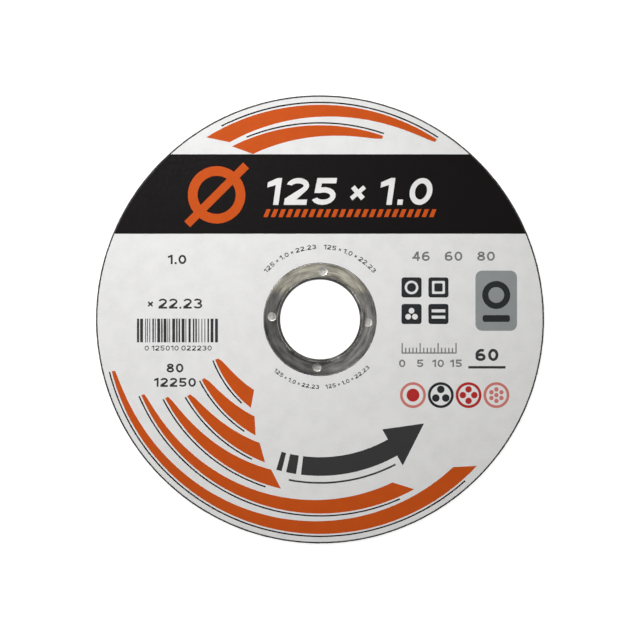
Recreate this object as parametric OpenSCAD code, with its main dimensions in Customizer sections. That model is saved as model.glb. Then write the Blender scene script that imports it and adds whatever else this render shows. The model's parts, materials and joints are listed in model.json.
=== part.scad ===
// Flat cut-off wheel: a thin disc of resin-bonded abrasive pressed on a woven glass net,
// a printed paper label on its front, and a stamped steel ring that lines the arbor bore.
// It lies on its back, label up. Millimetres; the origin is on the axis, at the back face.

/* [Wheel] */
// Outside diameter of the wheel
wheel_d = 125; // [100:1:230]
// Thickness of the wheel, label included
wheel_t = 1; // [0.8:0.1:3.2]

/* [Label] */
// Thickness of the label's paper
label_t = 0.1; // [0.05:0.01:0.2]
// Width of bare abrasive left between the label and the rim
label_margin = 0.5; // [0.1:0.05:3]
// Gap between the label's hole and the ring's flange
label_gap = 0.1; // [0.05:0.05:1]

/* [Centre ring] */
// Diameter of the arbor bore
bore_d = 22.23; // [18:0.01:25.4]
// Outside diameter of the flange
flange_d = 31.4; // [29:0.1:40]
// Thickness of the sheet steel
sheet_t = 0.3; // [0.2:0.05:0.4]
// Radius of the bend at the mouth of the bore, on its outside
mouth_r = 0.7; // [0.45:0.05:0.9]
// Angle at which the flange falls from the mouth of the bore to its outer edge
flange_slope = 2.5; // [0.5:0.1:4]
// Height of the ring's highest circle above the label
ring_proud = 0.15; // [0.05:0.01:0.4]
// Height of the collar's end above the back face
collar_lift = 0.04; // [0.02:0.01:0.2]
// Gap between the ring and the abrasive moulded round it
ring_fit = 0.02; // [0.01:0.01:0.08]

/* [Dimples] */
// Number of locking dimples punched in the flange
dimple_count = 4; // [3:1:8]
// Width of a dimple across its mouth
dimple_w = 2.2; // [1.4:0.1:2.6]
// Depth of a dimple
dimple_depth = 0.2; // [0.1:0.01:0.25]
// Angle of the first dimple
dimple_turn = -3.5; // [-45:0.5:45]

/* [Glass net] */
// Distance from strand to strand
strand_pitch = 5; // [3.5:0.1:8]
// Width of a strand
strand_w = 1.6; // [0.8:0.1:2.4]
// Depth of the gaps between the strands
net_relief = 0.08; // [0.04:0.01:0.12]
// Width of the plain edge round the net, at the rim and at the bore
net_edge = 1; // [0.5:0.1:3]

/* [Hidden] */
$fn = 96;
arc_steps = 8;
overcut = 1;

wheel_r = wheel_d / 2;
bore_r = bore_d / 2;
flange_r = flange_d / 2;
abrasive_t = wheel_t - label_t;

// The bend at the bore's mouth holds the ring's highest circle, and the flange runs smoothly off it
bend_centre = [bore_r + mouth_r, wheel_t + ring_proud - mouth_r];
bend_start = 90 - flange_slope;

// A dimple is a ball pressed into the middle of the flange
dimple_place_r = (bore_r + flange_r) / 2;
dimple_r = (pow(dimple_w / 2, 2) + pow(dimple_depth, 2)) / (2 * dimple_depth);

// The net lies between the plain edges at the bore and at the rim
strand_gap = strand_pitch - strand_w;
net_inner_r = bore_r + sheet_t + ring_fit + net_edge;
net_outer_r = wheel_r - net_edge;
net_reach = ceil(wheel_r / strand_pitch);

// Points along an arc, from one angle to another
function arc(centre, r, from, to) = [
    for (i = [0:arc_steps])
        let (a = from + (to - from) * i / arc_steps)
        centre + r * [cos(a), sin(a)]
];

// A list, last item first
function reversed(list) = [for (i = [len(list) - 1:-1:0]) list[i]];

// A point of the flange at radius r, a distance below its outside face
function flange_point(below, r) = [
    r,
    bend_centre.y + (mouth_r - below) / cos(flange_slope) - (r - bend_centre.x) * tan(flange_slope)
];

// The ring's section as one line, a distance below its outside face:
// from the flange's edge at edge_r, up to the bend, round it and down the bore to end_z
function ring_line(below, edge_r, end_z) = concat(
    [flange_point(below, edge_r)],
    arc(bend_centre, mouth_r - below, bend_start, 180),
    [[bore_r + below, end_z]]
);

// Balls on the dimples' places, larger than the dents themselves by the given amount
module dimple_balls(grow) {
    for (i = [0:dimple_count - 1])
        rotate(dimple_turn + 360 * i / dimple_count)
            translate([dimple_place_r, 0, flange_point(dimple_depth, dimple_place_r).y + dimple_r])
                sphere(r = dimple_r + grow);
}

// Everything under the ring's outside face, inside the flange's edge
module under_flange() {
    rotate_extrude()
        polygon(concat(ring_line(0, flange_r, 0), [[flange_r, 0]]));
}

module ring_sheet() {
    rotate_extrude()
        polygon(concat(
            ring_line(0, flange_r, collar_lift),
            reversed(ring_line(sheet_t, flange_r, collar_lift))
        ));
}

// Stamped ring: a conical flange, a collar through the bore, and dimples that bite into the abrasive
module centre_ring() {
    color("darkgray")
        difference() {
            union() {
                ring_sheet();
                intersection() {
                    dimple_balls(sheet_t);
                    under_flange();
                }
            }
            dimple_balls(0);
        }
}

// Paper label, flat on the abrasive, with a hole round the flange
module label() {
    color("whitesmoke")
        translate([0, 0, abrasive_t])
            difference() {
                cylinder(r = wheel_r - label_margin, h = label_t);
                translate([0, 0, -overcut])
                    cylinder(r = flange_r + label_gap, h = label_t + 2 * overcut);
            }
}

// The wheel's body, moulded round the ring: its seat follows the ring's underside
module moulded_body() {
    seat_r = flange_r + ring_fit;
    rotate_extrude()
        polygon(concat(
            reversed(ring_line(sheet_t + ring_fit, seat_r, 0)),
            [[seat_r, abrasive_t], [wheel_r, abrasive_t], [wheel_r, 0]]
        ));
}

// The spaces between the net's strands, seen from the back
module net_gaps() {
    intersection() {
        difference() {
            circle(r = net_outer_r);
            circle(r = net_inner_r);
        }
        for (column = [-net_reach:net_reach - 1], row = [-net_reach:net_reach - 1]) {
            place = strand_pitch * [column + 0.5, row + 0.5];
            if (norm(place) > net_inner_r && norm(place) < net_outer_r)
                translate(place)
                    square(strand_gap, center = true);
        }
    }
}

// Abrasive body with the net's strands standing out on its back
module abrasive_disc() {
    color("dimgray")
        difference() {
            moulded_body();
            dimple_balls(sheet_t + ring_fit);
            translate([0, 0, -overcut])
                linear_extrude(overcut + net_relief)
                    net_gaps();
        }
}

abrasive_disc();
label();
centre_ring();
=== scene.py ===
# Looks of a flat cut-off wheel that lies on its back, label up, seen from straight above
import json
import math
import random

import bpy
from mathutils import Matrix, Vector, noise
from mathutils.geometry import delaunay_2d_cdt


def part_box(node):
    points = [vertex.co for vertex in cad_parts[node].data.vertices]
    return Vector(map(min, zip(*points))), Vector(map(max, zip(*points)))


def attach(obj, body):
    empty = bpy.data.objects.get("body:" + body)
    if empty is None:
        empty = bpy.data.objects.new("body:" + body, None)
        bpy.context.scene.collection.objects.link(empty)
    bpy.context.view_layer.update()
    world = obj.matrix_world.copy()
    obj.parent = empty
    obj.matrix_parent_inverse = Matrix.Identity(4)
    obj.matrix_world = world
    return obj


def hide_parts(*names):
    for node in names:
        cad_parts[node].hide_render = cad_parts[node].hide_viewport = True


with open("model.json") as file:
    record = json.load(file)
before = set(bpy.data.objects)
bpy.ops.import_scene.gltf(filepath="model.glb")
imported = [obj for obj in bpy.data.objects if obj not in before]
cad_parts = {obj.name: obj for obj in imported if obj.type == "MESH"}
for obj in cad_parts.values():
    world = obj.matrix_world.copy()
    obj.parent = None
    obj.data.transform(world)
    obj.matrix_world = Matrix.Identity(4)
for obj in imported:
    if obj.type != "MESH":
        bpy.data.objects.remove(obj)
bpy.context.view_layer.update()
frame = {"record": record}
mm = 0.001

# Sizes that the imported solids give
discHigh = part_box("abrasive_disc")[1]
labelLow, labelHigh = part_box("label")
ringLow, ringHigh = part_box("centre_ring")
arbor = next(mount for mount in frame["record"]["mounts"] if mount["name"] == "arbor_bore")
rimRadius = discHigh.x
labelRadius = labelHigh.x
flangeRadius = ringHigh.x
boreRadius = arbor["dims"]["r_mm"] * mm
boreTop = arbor["pos_m"][2] + arbor["dims"]["length_mm"] / 2 * mm  # the straight part of the bore ends here
mouthBend = ringHigh.z - boreTop
print("frame loaded, wheel across", round(2 * rimRadius / mm, 2), "mm")


# Node helpers
def newMaterial(name):
    material = bpy.data.materials.new(name)
    material.use_nodes = True
    tree = material.node_tree
    return material, tree, tree.nodes["Principled BSDF"]


def setInput(tree, socket, value):
    if isinstance(value, bpy.types.NodeSocket):
        tree.links.new(value, socket)
    else:
        socket.default_value = value


def addNode(tree, kind, inputs=None, **settings):
    node = tree.nodes.new(kind)
    for key, value in settings.items():
        setattr(node, key, value)
    for key, value in (inputs or {}).items():
        setInput(tree, node.inputs[key], value)
    return node


def maths(tree, operation, *values):
    return addNode(tree, "ShaderNodeMath", dict(enumerate(values)), operation=operation).outputs[0]


def objectPoint(tree):
    return addNode(tree, "ShaderNodeTexCoord").outputs["Object"]


def heightOf(tree, point):
    return addNode(tree, "ShaderNodeSeparateXYZ", {"Vector": point}).outputs["Z"]


def flatPoint(tree, point):
    # the point at height 0
    return addNode(tree, "ShaderNodeVectorMath", {0: point, 1: (1, 1, 0)}, operation="MULTIPLY").outputs[0]


def axisDistance(tree, point):
    flat = flatPoint(tree, point)
    return addNode(tree, "ShaderNodeVectorMath", {0: flat}, operation="LENGTH").outputs["Value"]


noiseSpan = (0.3, 0.7)  # most of what a noise gives lies between these


def noiseAt(tree, point, size, detail=2.0, roughness=0.5):
    inputs = {"Vector": point, "Scale": 1 / size, "Detail": detail, "Roughness": roughness}
    return addNode(tree, "ShaderNodeTexNoise", inputs).outputs["Fac"]


def noiseAlong(tree, value, size):
    inputs = {"W": value, "Scale": 1 / size, "Detail": 2.0}
    return addNode(tree, "ShaderNodeTexNoise", inputs, noise_dimensions="1D").outputs["Fac"]


def spread(tree, value, low, high, outLow, outHigh):
    inputs = {"Value": value, "From Min": low, "From Max": high, "To Min": outLow, "To Max": outHigh}
    return addNode(tree, "ShaderNodeMapRange", inputs).outputs[0]


def mixColours(tree, share, first, second):
    node = addNode(tree, "ShaderNodeMix", data_type="RGBA")
    for key, value in ((0, share), (6, first), (7, second)):
        setInput(tree, node.inputs[key], value)
    return node.outputs[2]


def bumpOf(tree, height, distance, strength=1.0, below=None):
    inputs = {"Height": height, "Distance": distance, "Strength": strength}
    if below is not None:
        inputs["Normal"] = below
    return addNode(tree, "ShaderNodeBump", inputs).outputs[0]


# Mesh helpers
def newPiece(name, points, faces, materials, slots=None, smooth=True):
    mesh = bpy.data.meshes.new(name)
    mesh.from_pydata(points, [], faces)
    for material in materials:
        mesh.materials.append(material)
    if slots:
        mesh.polygons.foreach_set("material_index", slots)
    mesh.polygons.foreach_set("use_smooth", [smooth] * len(mesh.polygons))
    mesh.validate()
    mesh.update()
    piece = bpy.data.objects.new(name, mesh)
    bpy.context.scene.collection.objects.link(piece)
    return piece


def standsFor(piece, node):
    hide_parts(node)
    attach(piece, "root")
    print(piece.name, "built,", len(piece.data.polygons), "faces")


def anticlockwise(outline):
    doubled = sum(a[0] * b[1] - a[1] * b[0] for a, b in zip(outline, outline[1:] + outline[:1]))
    return outline if doubled > 0 else outline[::-1]


def turned(outline, steps, moved):
    # a closed outline of (radius, height) turned round Z; moved may shift a point
    points, faces = [], []
    outline = anticlockwise(outline)
    count = len(outline)
    for step in range(steps):
        angle = 2 * math.pi * step / steps
        for place in outline:
            radius, height = moved(*place, angle)
            points.append((radius * math.cos(angle), radius * math.sin(angle), height))
    for step in range(steps):
        here, there = step * count, (step + 1) % steps * count
        for row in range(count):
            after = (row + 1) % count
            faces.append((here + row, there + row, there + after, here + after))
    return points, faces


def between(low, high, count):
    return [low + (high - low) * i / count for i in range(count + 1)]


def ovalArc(centre, rx, ry, fromDegrees, toDegrees, count):
    angles = [math.radians(a) for a in between(fromDegrees, toDegrees, count)]
    return [(centre[0] + rx * math.cos(a), centre[1] + ry * math.sin(a)) for a in angles]


def roundArc(centre, radius, fromDegrees, toDegrees, count):
    return ovalArc(centre, radius, radius, fromDegrees, toDegrees, count)


# Stamped steel ring in the bore
ring = {
    "sheet": 0.3 * mm,
    "slope": 2.5,
    "edgeRound": 0.04 * mm,
    "edgeArc": (10, 80, 4),  # first and last angle of the rounded edge, and its rows
    "turns": 576,
    "flangeRows": 30,
    "bendRows": 12,
    "sharpAngle": 50,
    "dimples": 4,
    "dimpleTurn": -3.5,
    "dimpleWidth": 2.2 * mm,
    "dimpleDepth": 0.2 * mm,
    "dimpleReach": 1.12,  # how far the metal is drawn in, in half widths
    "dimpleSoft": 1.4,  # a higher power softens the edge of a dimple
    "steel": (0.66, 0.65, 0.625, 1),
    # dark colour for the real smears and turned bands, and for the painted shade at the flange's inner and
    # outer edges
    "dullAndShade": (0.15, 0.148, 0.142, 1),
    "unshadedMiddle": (12.9 * mm, 14.0 * mm),  # middle of the flange that is left bright; painted shade darkens the steel from here towards the bore and the outer edge
    "paintedShadeInside": (1.7 * mm, 0.7),  # how far the painted shade reaches inwards from the bright middle, and how dark it gets there
    "paintedShadeOutside": (1.7 * mm, 0.25),
    "blotchy": (4, 0.6),  # detail and roughness of the stains and smears
    "stain": 1.7 * mm,  # spots that took less polish
    "polished": (0.05, 0.10),
    "smearTurn": 2.8,
    "smearWide": 0.9 * mm,
    "smearStart": 21.7,
    "smearSpan": (0.32, 0.68),
    "smearDulls": (-0.2, 0.75),
    "turnedBand": 0.4 * mm,
    "bandDulls": (0.0, 0.08),
    "turnedLine": 0.11 * mm,
    "lineRelief": (0.0004 * mm, 0.4),  # depth and strength
    "workedRoughness": 0.85,
    "dimpleWorked": (0.8, 3),  # the most of it, and how steeply it rises from the edge
    "bendWorked": (0.9, 1.2),  # full and first signs of it, in radii of the bend from the bore
}


def ringLine(below, edgeRadius, endHeight, flangeRows, bendRows):
    # one line of the ring's section, below its outside face: flange, then bend, then collar
    slope = math.radians(ring["slope"])
    centre = (boreRadius + mouthBend, boreTop)
    rise = mouthBend - below
    bend = roundArc(centre, rise, 90 - ring["slope"], 180, bendRows)
    flange = []
    for radius in between(edgeRadius, bend[0][0], flangeRows)[:-1]:
        fall = (radius - centre[0]) * math.tan(slope)
        flange.append((radius, centre[1] + rise / math.cos(slope) - fall))
    return flange + bend + [(boreRadius + below, endHeight)]


def ringOutline():
    top = ringLine(0, flangeRadius, ringLow.z, ring["flangeRows"], ring["bendRows"])
    under = ringLine(ring["sheet"], flangeRadius, ringLow.z, ring["flangeRows"], ring["bendRows"])
    edge = ring["edgeRound"]
    corner = roundArc((top[0][0] - edge, top[0][1] - edge), edge, *ring["edgeArc"])
    return corner + top[1:] + under[::-1]


def punchedShare(radius, angle):
    # 1 at the middle of a dimple, 0 outside it
    place = (boreRadius + flangeRadius) / 2
    reach = ring["dimpleWidth"] / 2 * ring["dimpleReach"]
    every = 2 * math.pi / ring["dimples"]
    turn = (angle - math.radians(ring["dimpleTurn"]) + every / 2) % every - every / 2
    gap = math.hypot(radius * math.cos(turn) - place, radius * math.sin(turn))
    return max(0, 1 - (gap / reach) ** 2)


def dimpled(radius, height, angle):
    return radius, height - ring["dimpleDepth"] * punchedShare(radius, angle) ** ring["dimpleSoft"]


def workedShare(radius, angle):
    # how far the surface is roughened: in the dimples, round the mouth and along the outer edge
    full, first = ring["bendWorked"]
    bend = (first - (radius - boreRadius) / mouthBend) / (first - full)
    edge = 1 if radius > flangeRadius - 2 * ring["edgeRound"] else 0
    most, rise = ring["dimpleWorked"]
    dimple = most * min(1, rise * punchedShare(radius, angle))
    return max(dimple, min(1, bend), edge)


def dullShare(tree, across):
    # painted shade: 0 in the bright middle of the flange, more towards the bore and towards the outer edge
    low, high = ring["unshadedMiddle"]
    reach, full = ring["paintedShadeInside"]
    inside = spread(tree, across, low - reach, low, full, 0.0)
    reach, full = ring["paintedShadeOutside"]
    return maths(tree, "ADD", inside, spread(tree, across, high, high + reach, 0.0, full))


def smearNoise(tree, point, across):
    # blotches drawn out round the axis
    flat = flatPoint(tree, point)
    ahead = addNode(tree, "ShaderNodeVectorMath", {0: flat}, operation="NORMALIZE").outputs[0]
    layer = maths(tree, "MULTIPLY_ADD", across, 1 / ring["smearWide"], ring["smearStart"])
    outward = addNode(tree, "ShaderNodeCombineXYZ", {"Z": layer}).outputs[0]
    inputs = {0: ahead, 1: (ring["smearTurn"],) * 3, 2: outward}
    drawn = addNode(tree, "ShaderNodeVectorMath", inputs, operation="MULTIPLY_ADD").outputs[0]
    return noiseAt(tree, drawn, 1.0, *ring["blotchy"])


def steelMaterial():
    material, tree, shader = newMaterial("stampedSteel")
    point = objectPoint(tree)
    across = axisDistance(tree, point)
    stains = noiseAt(tree, point, ring["stain"], *ring["blotchy"])
    smears = spread(tree, smearNoise(tree, point, across), *ring["smearSpan"], *ring["smearDulls"])
    bands = spread(tree, noiseAlong(tree, across, ring["turnedBand"]), *noiseSpan, *ring["bandDulls"])
    # painted shade at the flange's inner and outer edges, added to the real smears and turned bands,
    # darkens the steel
    shadeAndDulling = maths(tree, "ADD", dullShare(tree, across), maths(tree, "ADD", smears, bands))
    share = addNode(tree, "ShaderNodeClamp", {"Value": shadeAndDulling}).outputs[0]
    tree.links.new(mixColours(tree, share, ring["steel"], ring["dullAndShade"]), shader.inputs["Base Color"])
    lines = noiseAlong(tree, across, ring["turnedLine"])
    tree.links.new(bumpOf(tree, lines, *ring["lineRelief"]), shader.inputs["Normal"])
    worked = addNode(tree, "ShaderNodeAttribute", attribute_name="worked").outputs["Fac"]
    polished = spread(tree, stains, *noiseSpan, *ring["polished"])
    rough = maths(tree, "MULTIPLY_ADD", worked, ring["workedRoughness"], polished)
    tree.links.new(rough, shader.inputs["Roughness"])
    shader.inputs["Metallic"].default_value = 1.0
    return material


def buildRing():
    points, faces = turned(ringOutline(), ring["turns"], dimpled)
    piece = newPiece("centreRing", points, faces, [steelMaterial()])
    worked = piece.data.attributes.new("worked", "FLOAT", "POINT")
    shares = [workedShare(math.hypot(x, y), math.atan2(y, x)) for x, y, z in points]
    worked.data.foreach_set("value", shares)
    piece.data.set_sharp_from_angle(angle=math.radians(ring["sharpAngle"]))
    standsFor(piece, "centre_ring")


buildRing()


# Abrasive: dark grain in resin, with the cut ends of the glass net showing along the rim
grit = {
    "grain": 0.28 * mm,
    "dust": 0.35,  # size of the dust, in grains
    "dustShade": (0.5, 1.0),
    "detail": 3,
    "darkest": (0.012, 0.0115, 0.011, 1),
    "palest": (0.13, 0.125, 0.118, 1),
    "fewPale": 2.6,  # a higher power leaves fewer pale grains
    "relief": 0.07 * mm,
    "reliefStrength": 0.9,
    "dustRelief": 0.4,  # in depths of the grains' relief
    "dustStrength": 0.6,
    "roughness": (0.55, 0.9),
    "gloss": 0.35,
    "glassEnds": (0.30, 0.27, 0.20, 1),
    "glassLevels": (0.10 * mm, 0.78 * mm),
    "glassThick": 0.07 * mm,
    "glassSolid": 0.4,  # share of the thickness that shows in full
    "rimDepth": 0.2 * mm,
    "strandEnd": 1.3 * mm,
    "endSpan": (0.46, 0.56),
    "endShare": (0.0, 0.85),
}


def glassOnRim(tree, point):
    # 1 where a layer of the net comes out at the rim, 0 elsewhere
    height = heightOf(tree, point)
    thick = grit["glassThick"]
    layers = []
    for level in grit["glassLevels"]:
        away = maths(tree, "ABSOLUTE", maths(tree, "SUBTRACT", height, level))
        layers.append(spread(tree, away, grit["glassSolid"] * thick, thick, 1.0, 0.0))
    frayed = noiseAt(tree, point, grit["strandEnd"], grit["detail"])
    ends = spread(tree, frayed, *grit["endSpan"], *grit["endShare"])
    outside = maths(tree, "GREATER_THAN", axisDistance(tree, point), rimRadius - grit["rimDepth"])
    return maths(tree, "MULTIPLY", maths(tree, "MAXIMUM", *layers), maths(tree, "MULTIPLY", ends, outside))


def gritMaterial():
    material, tree, shader = newMaterial("pressedGrit")
    point = objectPoint(tree)
    cells = addNode(tree, "ShaderNodeTexVoronoi", {"Vector": point, "Scale": 1 / grit["grain"]})
    fine = noiseAt(tree, point, grit["grain"] * grit["dust"], grit["detail"])
    tone = addNode(tree, "ShaderNodeSeparateColor", {"Color": cells.outputs["Color"]}).outputs[0]
    dusty = spread(tree, fine, *noiseSpan, *grit["dustShade"])
    share = maths(tree, "MULTIPLY", maths(tree, "POWER", tone, grit["fewPale"]), dusty)
    grains = mixColours(tree, share, grit["darkest"], grit["palest"])
    colour = mixColours(tree, glassOnRim(tree, point), grains, grit["glassEnds"])
    tree.links.new(colour, shader.inputs["Base Color"])
    facets = maths(tree, "SUBTRACT", 1.0, cells.outputs["Distance"])
    normal = bumpOf(tree, facets, grit["relief"], grit["reliefStrength"])
    normal = bumpOf(tree, fine, grit["relief"] * grit["dustRelief"], grit["dustStrength"], normal)
    tree.links.new(normal, shader.inputs["Normal"])
    tree.links.new(spread(tree, tone, 0, 1, *grit["roughness"]), shader.inputs["Roughness"])
    shader.inputs["Specular IOR Level"].default_value = grit["gloss"]
    return material


# Woven glass net on the back, soaked in resin
net = {
    "pitch": 5 * mm,
    "strand": 1.6 * mm,
    "gapDepth": 0.08 * mm,
    "edge": 1.0 * mm,
    "sunkEnd": 0.4 * mm,
    "overCrest": 0.012 * mm,
    "underCrest": 0.046 * mm,
    "rootDepth": 0.03 * mm,
    "wander": 0.14 * mm,
    "wanderLength": 11 * mm,
    "wanderEvery": 17.3,  # how far apart two strands' wanders are in the noise
    "wanderLevels": (91.7, 5.1),  # where strands along Y and strands along X start in it
    "pinch": 0.07,
    "crown": 3,  # a higher power makes a strand's back flatter
    "samplesPerPitch": 5,
    "across": (-1.0, -0.72, -0.3, 0.3, 0.72, 1.0),
    "filament": (7 * mm, 0.06 * mm),
    "filamentDetail": 3,
    "filamentShade": (0.45, 1.0),
    "filamentRelief": 0.02 * mm,
    "filamentStrength": 0.6,
    "stain": 6 * mm,
    "stainDetail": 4,
    "stainShade": (0.5, 1.0),
    "roughness": (0.3, 0.55),
    "glass": (0.19, 0.175, 0.14, 1),
    "resin": (0.07, 0.064, 0.052, 1),
    "crumb": 0.55 * mm,  # grit that sticks to the strands
    "crumbNoise": (3, 0.7),  # detail and roughness
    "crumbSpan": (0.48, 0.62),
    "crumbShare": (0.0, 0.8),
    "crumbStrength": 0.8,
    "crumbs": (0.035, 0.033, 0.031, 1),
}
netInner = boreRadius + ring["sheet"] + net["edge"]
netOuter = rimRadius - net["edge"]


def glassMaterial():
    material, tree, shader = newMaterial("glassStrands")
    lane = addNode(tree, "ShaderNodeUVMap", uv_map="alongStrand").outputs[0]
    stretch = tuple(1 / size for size in net["filament"]) + (1,)
    drawn = addNode(tree, "ShaderNodeMapping", {"Vector": lane, "Scale": stretch}).outputs[0]
    filaments = noiseAt(tree, drawn, 1.0, net["filamentDetail"])
    stains = noiseAt(tree, objectPoint(tree), net["stain"], net["stainDetail"])
    bright = spread(tree, filaments, *noiseSpan, *net["filamentShade"])
    share = maths(tree, "MULTIPLY", bright, spread(tree, stains, *noiseSpan, *net["stainShade"]))
    strands = mixColours(tree, share, net["resin"], net["glass"])
    crumbs = noiseAt(tree, objectPoint(tree), net["crumb"], *net["crumbNoise"])
    stuck = spread(tree, crumbs, *net["crumbSpan"], *net["crumbShare"])
    tree.links.new(mixColours(tree, stuck, strands, net["crumbs"]), shader.inputs["Base Color"])
    normal = bumpOf(tree, filaments, net["filamentRelief"], net["filamentStrength"])
    normal = bumpOf(tree, stuck, net["filamentRelief"], net["crumbStrength"], normal)
    tree.links.new(normal, shader.inputs["Normal"])
    tree.links.new(spread(tree, stains, *noiseSpan, *net["roughness"]), shader.inputs["Roughness"])
    return material


def strandSpans(offset):
    # a strand runs from edge to edge, or stops at the bore and goes on behind it
    far = math.sqrt((netOuter + net["sunkEnd"]) ** 2 - offset ** 2)
    hole = netInner - net["sunkEnd"]
    if abs(offset) >= hole:
        return [(-far, far)]
    near = math.sqrt(hole ** 2 - offset ** 2)
    return [(-far, -near), (near, far)]


def strandMesh(number, span, alongX):
    # a flat ribbon that rises and falls over its neighbours, closed all round
    pitch = net["pitch"]
    steps = max(2, round((span[1] - span[0]) / pitch * net["samplesPerPitch"]))
    over = (1 if number % 2 else -1) * (1 if alongX else -1)
    middle = (net["overCrest"] + net["underCrest"]) / 2
    swing = over * (net["underCrest"] - net["overCrest"]) / 2
    root = net["gapDepth"] + net["rootDepth"]
    levelY, levelX = net["wanderLevels"]
    seed = Vector((0, net["wanderEvery"] * number, levelX if alongX else levelY))
    rows = []
    for t in between(*span, steps):
        crest = middle + swing * math.cos(math.pi * t / pitch)
        half = net["strand"] / 2 * (1 - net["pinch"] * math.cos(2 * math.pi * t / pitch))
        drift = noise.noise(seed + Vector((t / net["wanderLength"], 0, 0)))
        aside = number * pitch + net["wander"] * drift
        row = []
        for v in net["across"]:
            row.append((t, aside + v * half, root - (root - crest) * (1 - abs(v) ** net["crown"])))
        row.append((t, aside, root + net["rootDepth"]))
        rows.append(row if alongX else [(b, a, c) for a, b, c in row])
    count = len(rows[0])
    faces = [tuple(reversed(range(count))), tuple(range(steps * count, (steps + 1) * count))]
    for i in range(steps):
        for j in range(count):
            here, beside = i * count + j, i * count + (j + 1) % count
            faces.append((here, beside, beside + count, here + count))
    if not alongX:
        faces = [face[::-1] for face in faces]
    return [point for row in rows for point in row], faces


# Body of the wheel: a disc with a rough rim and a seat moulded round the ring
body = {
    "fit": 0.02 * mm,
    "turns": 1800,
    "seatRows": (8, 5),
    "rimRows": 7,
    "sharpAngle": 40,
    "rimRough": 0.10 * mm,
    "chips": (0.35 * mm, 1.9 * mm),
    "bite": (0.45, 0.5, 0.3),  # even wear, fine chips and coarse chips, as shares of the roughness
    "cornerChip": 0.05 * mm,
    "back": 0.006 * mm,
    "step": 0.10 * mm,
    "stepWander": 0.16 * mm,
    "stepWave": 1.2 * mm,
}


def discOutline():
    front, back, floor = discHigh.z, body["back"], net["gapDepth"]
    seatRadius = flangeRadius + body["fit"]
    seat = ringLine(ring["sheet"] + body["fit"], seatRadius, back, *body["seatRows"])
    rim = [(rimRadius, height) for height in between(front, back, body["rimRows"])]
    step = body["step"]
    return [
        *seat[::-1], (seatRadius, front), (labelRadius - net["edge"], front), *rim,
        (netOuter, back), (netOuter - step, floor), (netInner + step, floor), (netInner, back),
    ]


def weathered(radius, height, angle):
    place = Vector((radius * math.cos(angle), radius * math.sin(angle), height))
    if radius >= rimRadius:  # grains broken out of the rim, most at its two corners
        fine, coarse = [noise.noise(place / size) for size in body["chips"]]
        even, fineShare, coarseShare = body["bite"]
        bite = min(1, max(0, even + fineShare * fine + coarseShare * coarse))
        corner = body["cornerChip"] if height in (discHigh.z, body["back"]) else 0
        return radius - body["rimRough"] * bite - corner * abs(fine), height
    if height > 2 * net["gapDepth"]:
        return dimpled(radius, height, angle) if radius < flangeRadius else (radius, height)
    if boreRadius + ring["sheet"] + body["fit"] < radius:  # uneven edge of the net's bed
        return radius + body["stepWander"] * noise.noise(place / body["stepWave"]), height
    return radius, height


def buildDisc():
    points, faces = turned(discOutline(), body["turns"], weathered)
    slots = [0] * len(faces)
    lanes = [None] * len(faces)
    reach = int(netOuter / net["pitch"])
    for alongX in (True, False):
        for number in range(-reach, reach + 1):
            for span in strandSpans(number * net["pitch"]):
                strandPoints, strandFaces = strandMesh(number, span, alongX)
                base = len(points)
                points += strandPoints
                faces += [tuple(base + i for i in face) for face in strandFaces]
                slots += [1] * len(strandFaces)
                lanes += [alongX] * len(strandFaces)
    piece = newPiece("abrasiveDisc", points, faces, [gritMaterial(), glassMaterial()], slots)
    layer = piece.data.uv_layers.new(name="alongStrand")
    for face, alongX in zip(piece.data.polygons, lanes):
        for corner in face.loop_indices:
            x, y, z = points[piece.data.loops[corner].vertex_index]
            layer.data[corner].uv = (x, y) if alongX else (y, x)
    piece.data.set_sharp_from_angle(angle=math.radians(body["sharpAngle"]))
    standsFor(piece, "abrasive_disc")


buildDisc()


# Shapes of the print, as outlines in millimetres on the label
sides = {"corner": 6, "dot": 40, "sign": 64, "hole": 180, "sheet": 360}  # straight sides of a round outline
arcStep = 2  # degrees


def bar(x0, y0, x1, y1, lean=0.0):
    return [(x0, y0), (x1, y0), (x1 + lean, y1), (x0 + lean, y1)]


def dot(x, y, radius, kind="dot"):
    return roundArc((x, y), radius, 0, 360, sides[kind])[:-1]


def roundBar(x0, y0, x1, y1, r):
    corners = ((x1 - r, y0 + r, -90), (x1 - r, y1 - r, 0), (x0 + r, y1 - r, 90), (x0 + r, y0 + r, 180))
    return [p for x, y, a in corners for p in roundArc((x, y), r, a, a + 90, sides["corner"])]


def squareAt(x, y, half, r):
    return roundBar(x - half, y - half, x + half, y + half, r)


def arcBar(r0, r1, a0, a1):
    count = max(2, round(abs(a1 - a0) / arcStep))
    return roundArc((0, 0), r0, a0, a1, count) + roundArc((0, 0), r1, a1, a0, count)


def onCircle(radius, degrees):
    return (radius * math.cos(math.radians(degrees)), radius * math.sin(math.radians(degrees)))


def stroke(start, end, width):
    dx, dy = end[0] - start[0], end[1] - start[1]
    half = width / 2 / math.hypot(dx, dy)
    x, y = dy * half, -dx * half
    return [(start[0] + x, start[1] + y), (end[0] + x, end[1] + y),
            (end[0] - x, end[1] - y), (start[0] - x, start[1] - y)]


def bowl(centre, rx, ry, t, a0, a1):
    # an oval stroke, t wide, inside the radii rx and ry; its two end points lie in the middle of the list
    count = 6 + round(3 * ry)
    return ovalArc(centre, rx, ry, a0, a1, count) + ovalArc(centre, rx - t, ry - t, a1, a0, count)


def closedBowl(centre, rx, ry, t):
    # two halves that overlap a little
    return [bowl(centre, rx, ry, t, a, a + 186) for a in (-3, 177)]


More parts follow.
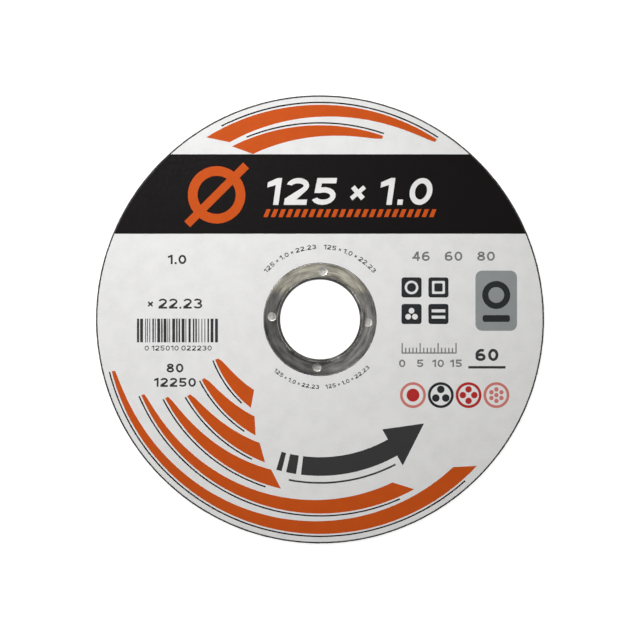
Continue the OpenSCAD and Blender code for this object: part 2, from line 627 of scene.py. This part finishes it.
def numeral(character, w, h, t):
    # outlines of a plain figure with strokes t wide, in a box of w by h
    if character == "0":
        return closedBowl((w / 2, h / 2), w / 2, h / 2, t)
    if character == "1":
        flag = [(w - 0.8 * t, h), (0, 0.84 * h), (0, 0.64 * h), (w - t, 0.74 * h)]
        return [[(w - t, 0), (w, 0), (w, h), *flag]]
    if character == "2":
        top = bowl((w / 2, 0.7 * h), w / 2, 0.3 * h, t, 168, -36)
        ends = top[len(top) // 2 - 1:len(top) // 2 + 1]
        return [top, [*ends, (0, 1.15 * t), (0, 0), (0.5 * w, 0.9 * t)], bar(0, 0, w, t)]
    if character == "3":
        upper = bowl((0.46 * w, 0.715 * h), 0.5 * w, 0.285 * h, t, 155, -92)
        return [upper, bowl((0.46 * w, 0.3 * h), 0.54 * w, 0.3 * h, t, 92, -155)]
    if character == "4":
        stem, foot = 0.6 * w, 0.22 * h
        slope = [(0, foot), (1.2 * t, foot), (stem + t, h), (stem - 0.2 * t, h)]
        return [slope, bar(stem, 0, stem + t, h), bar(0, foot, w, foot + t)]
    if character == "5":
        stem = [(0.08 * w, h), (0.08 * w + t, h), (0.06 * w + t, 0.44 * h), (0.04 * w, 0.44 * h)]
        low = bowl((0.46 * w, 0.33 * h), 0.54 * w, 0.33 * h, t, 125, -155)
        return [bar(0.1 * w, h - t, 0.95 * w, h), stem, low]
    if character == "6":
        back = bowl((0.6 * w, 0.5 * h), 0.6 * w, 0.5 * h, t, 62, 205)
        return [back] + closedBowl((w / 2, 0.32 * h), w / 2, 0.32 * h, t)
    if character == "8":
        upper = closedBowl((w / 2, 0.74 * h), 0.44 * w, 0.26 * h, t)
        return upper + closedBowl((w / 2, 0.3 * h), w / 2, 0.3 * h, t)
    if character == "x":
        a = 0.42 * w
        low, high = 0.45 * h - a, 0.45 * h + a
        crossing = (((w / 2 - a, low), (w / 2 + a, high)), ((w / 2 - a, high), (w / 2 + a, low)))
        return [stroke(*ends, 0.85 * t) for ends in crossing]
    return [bar(0, 0, t, t)] if character == "." else []


figureLook = {
    "width": 0.84,  # in heights
    "gap": 0.2,
    "narrow": {"1": 0.6, "x": 0.62, " ": 0.18},  # in full widths
}


def figures(text, middle, y, h, t, lean, ink):
    # a row of plain figures about its middle, with strokes t wide
    full, gap = figureLook["width"] * h, figureLook["gap"] * h
    narrow = {character: share * full for character, share in figureLook["narrow"].items()}
    narrow["."] = t
    widths = [narrow.get(character, full) for character in text]
    x = middle - (sum(widths) + gap * (len(text) - 1)) / 2
    shapes = []
    for character, w in zip(text, widths):
        for outline in numeral(character, w, h, t):
            shapes.append((ink, [(x + px + lean * py, y + py) for px, py in outline]))
        x += w + gap
    return shapes


def bentFigures(text, radius, middle, turn, h, t, ink):
    # a row of figures on an arc about the angle of its middle, feet inwards if turn is -1, else outwards
    shapes = []
    for figureInk, outline in figures(text, 0, 0, h, t, 0, ink):
        bent = []
        for px, py in outline:
            bent.append(onCircle(radius - turn * py, middle + turn * math.degrees(px / radius)))
        shapes.append((figureInk, bent))
    return shapes


# Inks, as they look in plain light
inks = {
    "paper": (0.80, 0.80, 0.806, 1),
    "black": (0.0082, 0.0070, 0.0072, 1),
    "orange": (0.58, 0.088, 0.011, 1),
    "type": (0.045, 0.045, 0.047, 1),
    "faint": (0.19, 0.19, 0.19, 1),
    "fine": (0.07, 0.07, 0.073, 1),
    "panel": (0.29, 0.308, 0.316, 1),
    "sign": (0.028, 0.030, 0.033, 1),
    "red": (0.46, 0.030, 0.028, 1),
    "paleRed": (0.62, 0.20, 0.17, 1),
}

# Places and sizes of the print, in millimetres and degrees
printing = {
    "band": (23.85, 46.0),
    "bandReach": 1.2,  # in radii of the label, so that it ends past the edge
    "diameterSign": {"at": (-28.8, 34.7), "radius": 8.0, "hole": 5.3, "slash": 11.6, "width": 2.3},
    "bandDashes": {"from": -15.8, "count": 23, "every": 2.1, "width": 1.2, "height": (28.5, 30.7),
                   "lean": 0.9},
    "rows": (  # text, middle, foot, height, stroke, lean and ink
        ("125 x 1.0", 7.7, 31.9, 7.5, 1.5, 0.14, "paper"),
        ("1.0", -39.8, 15.4, 2.6, 0.56, 0, "type"),
        ("x 22.23", -40.4, 3.0, 2.8, 0.52, 0, "type"),
        ("0 125010 022230", -39.5, -8.7, 1.4, 0.24, 0, "type"),
        ("80", -40.4, -14.8, 2.5, 0.54, 0, "type"),
        ("12250", -40.4, -18.8, 2.5, 0.52, 0, "type"),
        ("46    60    80", 37.2, 16.3, 2.6, 0.50, 0, "faint"),
        ("60", 46.5, -11.6, 3.4, 0.78, 0, "type"),
    ),
    "bentRows": (  # text, radius, middle, turn, height, stroke and ink
        ("125 x 1.0 x 22.23    125 x 1.0 x 22.23", 19.6, 90, -1, 1.3, 0.26, "fine"),
        ("125 x 1.0 x 22.23    125 x 1.0 x 22.23", 19.4, 272, 1, 1.15, 0.24, "fine"),
    ),
    "scale": {"from": 22.9, "foot": -9.2, "marks": 15, "line": 0.34, "short": 1.3, "long": 2.6,
              "figures": (-13.3, 2.1, 0.42), "ink": "faint"},
    "sweeps": {"outer": 59.8, "every": 5.7, "tail": 0.9, "head": 4.4, "swell": 0.6, "lean": 5.0,
               "line": (0.45, 0.85)},
    "sweepRows": (  # row, counted from the rim, and the angles of its tail and head
        (0, 57, 117), (1, 71, 112), (0, 194, 312), (1, 203, 294),
        (2, 207, 252), (3, 210, 244), (4, 207, 236), (5, 201, 227),
    ),
    "arrow": {"rows": (38.4, 43.6), "parts": ((263, 300), (257.5, 261.2), (253.8, 255.8)),
              "head": (35.2, 46.8), "heel": 299.5, "tip": 315,
              "line": (45.3, 45.8), "lineSpan": (259, 297.5)},
    "barcode": {"box": (-51.0, -6.4, -27.9, 0.2), "seed": 7,
                "bars": (0.24, 0.43, 0.62, 0.81), "gaps": (0.26, 0.43, 0.6)},
    "rule": (41.3, -13.7, 51.7, -13.0),
    "profiles": {"places": ((25.5, 8.9, "tube"), (33.0, 8.9, "box"),
                            (25.5, 1.5, "rods"), (33.0, 1.5, "flat")),
                 "half": 2.8, "corner": 0.7, "tube": (1.9, 1.25), "box": (1.8, 1.15), "boxCorner": 0.3,
                 "rod": 0.8, "rods": ((-0.95, -0.75), (0.95, -0.75), (0, 0.9)),
                 "flat": ((-1.9, -1.3, 1.9, -0.45), (-1.9, 0.45, 1.9, 1.3))},
    "panel": {"box": (43.3, -3.2, 54.9, 13.6), "corner": 1.9, "at": (49.1, 6.8), "disc": 3.9, "hole": 2.2,
              "foot": (45.3, -0.7, 52.9, 1.2), "footCorner": 0.6},
    "grades": {"y": -21.1, "x": 25.9, "every": 7.75, "radius": 3.6, "line": 0.75, "circle": 1.6,
               "row": (("paleRed", "red", 1.8, 0, True), ("sign", "sign", 1.05, 3, False),
                       ("red", "red", 0.9, 4, False), ("paleRed", "paleRed", 0.62, 6, True))},
}


def sweepPrint(row, tail, head):
    # a stripe that swells from its tail to its slanted head, with a thin dark line outside it
    look = printing["sweeps"]
    outer = look["outer"] - row * look["every"]
    low, high = look["line"]
    count = round((head - tail) / arcStep)
    stripe = roundArc((0, 0), outer, tail, head + look["lean"], count)
    for share in between(1, 0, count):
        wide = look["tail"] + (look["head"] - look["tail"]) * share ** look["swell"]
        stripe.append(onCircle(outer - wide, tail + (head - tail) * share))
    return [("orange", stripe), ("black", arcBar(outer + low, outer + high, tail, head))]


def bandPrint():
    y0, y1 = printing["band"]
    wide = printing["bandReach"] * labelRadius / mm
    sign = printing["diameterSign"]
    (x, y), slash = sign["at"], sign["slash"] / math.sqrt(2)
    shapes = [("black", bar(-wide, y0, wide, y1))]
    shapes += [("orange", dot(x, y, sign["radius"], "sign")), ("black", dot(x, y, sign["hole"], "sign"))]
    shapes += [("orange", stroke((x - slash, y - slash), (x + slash, y + slash), sign["width"]))]
    row = printing["bandDashes"]
    low, high = row["height"]
    for i in range(row["count"]):
        left = row["from"] + i * row["every"]
        shapes.append(("orange", bar(left, low, left + row["width"], high, row["lean"])))
    return shapes


def arrowPrint():
    # a dark arrow that turns with the wheel, its tail broken up
    look = printing["arrow"]
    heel = [onCircle(radius, look["heel"]) for radius in look["head"]]
    tip = onCircle(sum(look["rows"]) / 2, look["tip"])
    outlines = [arcBar(*look["rows"], *part) for part in look["parts"]]
    outlines += [[*heel, tip], arcBar(*look["line"], *look["lineSpan"])]
    return [("type", outline) for outline in outlines]


def barcode():
    # plain bars that stand for no number
    look = printing["barcode"]
    chance = random.Random(look["seed"])
    x, y0, end, y1 = look["box"]
    shapes = []
    while x < end:
        width = chance.choice(look["bars"])
        shapes.append(("type", bar(x, y0, x + width, y1)))
        x += width + chance.choice(look["gaps"])
    return shapes


def scalePrint():
    # a millimetre scale, with a figure at every fifth mark
    look = printing["scale"]
    start, foot, half, ink = look["from"], look["foot"], look["line"] / 2, look["ink"]
    figureFoot, height, thick = look["figures"]
    shapes = [(ink, bar(start - half, foot - 2 * half, start + look["marks"] + half, foot))]
    for mark in range(look["marks"] + 1):
        x, fifth = start + mark, mark % 5 == 0
        high = look["long"] if fifth else look["short"]
        shapes.append((ink, bar(x - half, foot - half, x + half, foot + high)))
        if fifth:
            shapes += figures(str(mark), x, figureFoot, height, thick, 0, ink)
    return shapes


def profileSign(x, y, kind):
    # the section of a workpiece on a dark square
    look = printing["profiles"]
    shapes = [("sign", squareAt(x, y, look["half"], look["corner"]))]
    if kind == "tube":
        outside, inside = look["tube"]
        shapes += [("paper", dot(x, y, outside)), ("sign", dot(x, y, inside))]
    if kind == "box":
        for ink, half in zip(("paper", "sign"), look["box"]):
            shapes.append((ink, squareAt(x, y, half, look["boxCorner"])))
    if kind == "rods":
        shapes += [("paper", dot(x + px, y + py, look["rod"])) for px, py in look["rods"]]
    if kind == "flat":
        shapes += [("paper", bar(x + x0, y + y0, x + x1, y + y1)) for x0, y0, x1, y1 in look["flat"]]
    return shapes


def grainGrade(x, y, ink, grainInk, size, count, hasMiddle):
    # a ring with grains in it, from one coarse grain to many fine ones
    look = printing["grades"]
    outside, inside = look["radius"], look["radius"] - look["line"]
    shapes = [(ink, dot(x, y, outside, "sign")), ("paper", dot(x, y, inside, "sign"))]
    if hasMiddle:
        shapes.append((grainInk, dot(x, y, size)))
    for i in range(count):
        px, py = onCircle(look["circle"], 90 + 360 * i / count)
        shapes.append((grainInk, dot(x + px, y + py, size)))
    return shapes


def panelPrint():
    look = printing["panel"]
    shapes = [("panel", roundBar(*look["box"], look["corner"]))]
    shapes += [("sign", dot(*look["at"], look["disc"])), ("panel", dot(*look["at"], look["hole"]))]
    return shapes + [("sign", roundBar(*look["foot"], look["footCorner"]))]


def labelShapes():
    shapes = bandPrint()
    for row in printing["sweepRows"]:
        shapes += sweepPrint(*row)
    shapes += arrowPrint() + barcode() + scalePrint() + panelPrint()
    shapes.append(("type", bar(*printing["rule"])))
    for row in printing["rows"]:
        shapes += figures(*row)
    for row in printing["bentRows"]:
        shapes += bentFigures(*row)
    for place in printing["profiles"]["places"]:
        shapes += profileSign(*place)
    grades = printing["grades"]
    for i, grade in enumerate(grades["row"]):
        shapes += grainGrade(grades["x"] + i * grades["every"], grades["y"], *grade)
    return shapes


# Paper of the label, pressed onto the grain and the net
paperLook = {
    "holeGap": 0.1,  # millimetres, as the print is
    "joinWithin": 1e-5,  # points of the print that are nearer than this are one
    "mottle": 4 * mm,
    "mottleDetail": 4,
    "mottleSpan": (0.35, 0.65),
    "mottleShade": 0.93,
    "fibre": 0.9 * mm,
    "fibreDetail": 3,
    "fibreShare": (0.4, 1.0),
    "grain": 0.45 * mm,
    "grainRelief": 0.012 * mm,
    "netRelief": 0.010 * mm,
    "netRidge": 3.0,  # a higher power makes the net's ridges narrower
    "roughness": (0.42, 0.58),
    "gloss": 0.035,
}


def inkMaterial(name, colour):
    material, tree, shader = newMaterial("label_" + name)
    point = objectPoint(tree)
    cloudy = noiseAt(tree, point, paperLook["mottle"], paperLook["mottleDetail"])
    mottle = spread(tree, cloudy, *paperLook["mottleSpan"], 0.0, 1.0)
    fibre = noiseAt(tree, point, paperLook["fibre"], paperLook["fibreDetail"])
    darker = tuple(paperLook["mottleShade"] * c for c in colour[:3]) + (1,)
    share = maths(tree, "MULTIPLY", mottle, spread(tree, fibre, *noiseSpan, *paperLook["fibreShare"]))
    tree.links.new(mixColours(tree, share, colour, darker), shader.inputs["Base Color"])
    parts = addNode(tree, "ShaderNodeSeparateXYZ", {"Vector": point}).outputs
    ridges = []
    for axis in ("X", "Y"):
        wave = maths(tree, "COSINE", maths(tree, "MULTIPLY", parts[axis], 2 * math.pi / net["pitch"]))
        ridges.append(maths(tree, "POWER", spread(tree, wave, -1, 1, 0, 1), paperLook["netRidge"]))
    normal = bumpOf(tree, maths(tree, "MAXIMUM", *ridges), paperLook["netRelief"])
    cells = {"Vector": point, "Scale": 1 / paperLook["grain"]}
    grain = addNode(tree, "ShaderNodeTexVoronoi", cells, feature="SMOOTH_F1").outputs["Distance"]
    normal = bumpOf(tree, grain, paperLook["grainRelief"], 1.0, normal)
    tree.links.new(normal, shader.inputs["Normal"])
    tree.links.new(spread(tree, fibre, *noiseSpan, *paperLook["roughness"]), shader.inputs["Roughness"])
    shader.inputs["Specular IOR Level"].default_value = paperLook["gloss"]
    return material


def printedFields():
    # the sheet is cut along every outline of the print, and each field takes the topmost ink over it
    sheet = dot(0, 0, labelRadius / mm, "sheet")
    hole = dot(0, 0, flangeRadius / mm + paperLook["holeGap"], "hole")
    shapes = [("paper", sheet)] + labelShapes() + [("hole", hole)]
    points, loops = [], []
    for ink, outline in shapes:
        loops.append(list(range(len(points), len(points) + len(outline))))
        points += [Vector(p) for p in anticlockwise(outline)]
    insideOnly = 1
    cut = delaunay_2d_cdt(points, [], loops, insideOnly, paperLook["joinWithin"])
    cutPoints, cutFaces, cutOwners = cut[0], cut[2], cut[5]
    names = list(inks)
    fields, slots = [], []
    for face, owners in zip(cutFaces, cutOwners):
        if 0 in owners and max(owners) != len(shapes) - 1:  # on the sheet and not in its hole
            fields.append(face)
            slots.append(names.index(shapes[max(owners)][0]))
    used = sorted({i for face in fields for i in face})
    place = {old: new for new, old in enumerate(used)}
    spots = [cutPoints[i] * mm for i in used]
    return spots, [tuple(place[i] for i in face) for face in fields], slots


def buildLabel():
    spots, fields, slots = printedFields()
    count = len(spots)
    top = [(x, y, labelHigh.z) for x, y in spots]
    under = [(x, y, labelLow.z) for x, y in spots]
    edges = {edge for face in fields for edge in zip(face, face[1:] + face[:1])}
    walls = [(b, a, a + count, b + count) for a, b in sorted(edges) if (b, a) not in edges]
    backs = [tuple(i + count for i in reversed(face)) for face in fields]
    slots += [0] * (len(backs) + len(walls))
    materials = [inkMaterial(name, colour) for name, colour in inks.items()]
    piece = newPiece("printedLabel", top + under, fields + backs + walls, materials, slots, smooth=False)
    standsFor(piece, "label")


buildLabel()


# Floor, lamps and camera
studio = {
    "floorSize": 12.0,
    "floorGlow": 0.86,
    "floorDiffuse": 0.35,
    "floorColour": 0.8,
    "horizon": 0.10,
    "zenith": 0.20,
}

lamps = {
    "key": {"at": (-0.075, 0.11, 0.235), "size": (0.06, 0.06), "level": 49.2},
    "ceiling": {"at": (0, 0.475, 1.0), "size": (1.2, 0.80), "level": 0.50, "down": True,
                "colour": (1, 0.945, 0.76)},
    "side": {"at": (0.47, -0.44, 1.0), "size": (0.90, 1.0), "level": 0.155, "down": True},
}


def grey(value):
    return (value, value, value, 1)


def buildFloor():
    # white to the eye, and in what metal mirrors, with the wheel's shadow still on it
    material, tree, shader = newMaterial("whiteFloor")
    tree.nodes.remove(shader)
    path = addNode(tree, "ShaderNodeLightPath").outputs
    mirrored = maths(tree, "MAXIMUM", path["Is Glossy Ray"], path["Is Transmission Ray"])
    seen = maths(tree, "MAXIMUM", path["Is Camera Ray"], mirrored)
    plain = addNode(tree, "ShaderNodeBsdfDiffuse", {"Color": grey(studio["floorColour"])})
    shade = addNode(tree, "ShaderNodeBsdfDiffuse", {"Color": grey(studio["floorDiffuse"])})
    glow = addNode(tree, "ShaderNodeEmission", {"Color": grey(1), "Strength": studio["floorGlow"]})
    white = addNode(tree, "ShaderNodeAddShader", {0: shade.outputs[0], 1: glow.outputs[0]})
    choice = addNode(tree, "ShaderNodeMixShader", {0: seen, 1: plain.outputs[0], 2: white.outputs[0]})
    tree.links.new(choice.outputs[0], tree.nodes["Material Output"].inputs["Surface"])
    side = studio["floorSize"] / 2
    corners = [(-side, -side, 0), (side, -side, 0), (side, side, 0), (-side, side, 0)]
    newPiece("floor", corners, [(0, 1, 2, 3)], [material], smooth=False)


def buildLamps():
    for name, look in lamps.items():
        lamp = bpy.data.lights.new(name, "AREA")
        lamp.shape = "RECTANGLE"
        lamp.size, lamp.size_y = look["size"]
        lamp.energy = look["level"] * math.pi * lamp.size * lamp.size_y
        lamp.color = look.get("colour", (1, 1, 1))
        holder = bpy.data.objects.new(name, lamp)
        holder.location = look["at"]
        if not look.get("down"):
            holder.rotation_euler = (-Vector(look["at"])).to_track_quat("-Z", "Y").to_euler()
        bpy.context.scene.collection.objects.link(holder)


def buildSky():
    world = bpy.data.worlds.new("studio")
    world.use_nodes = True
    tree = world.node_tree
    height = heightOf(tree, addNode(tree, "ShaderNodeTexCoord").outputs["Generated"])
    level = spread(tree, height, 0, 1, studio["horizon"], studio["zenith"])
    tree.nodes["Background"].inputs["Color"].default_value = grey(1)
    tree.links.new(level, tree.nodes["Background"].inputs["Strength"])
    bpy.context.scene.world = world


cameraLook = {"lens": 85.0, "sensor": 36.0, "frameWidth": 178.3 * mm, "aimY": -0.17 * mm}


def buildCamera():
    lens = bpy.data.cameras.new("camera")
    lens.lens = cameraLook["lens"]
    lens.sensor_width = cameraLook["sensor"]
    camera = bpy.data.objects.new("camera", lens)
    height = cameraLook["frameWidth"] * cameraLook["lens"] / cameraLook["sensor"]
    camera.location = (0, cameraLook["aimY"], labelHigh.z + height)
    bpy.context.scene.collection.objects.link(camera)
    bpy.context.scene.camera = camera


buildFloor()
buildLamps()
buildSky()
buildCamera()
bpy.context.scene.view_settings.view_transform = "Standard"
print("floor, lamps, sky and camera set")
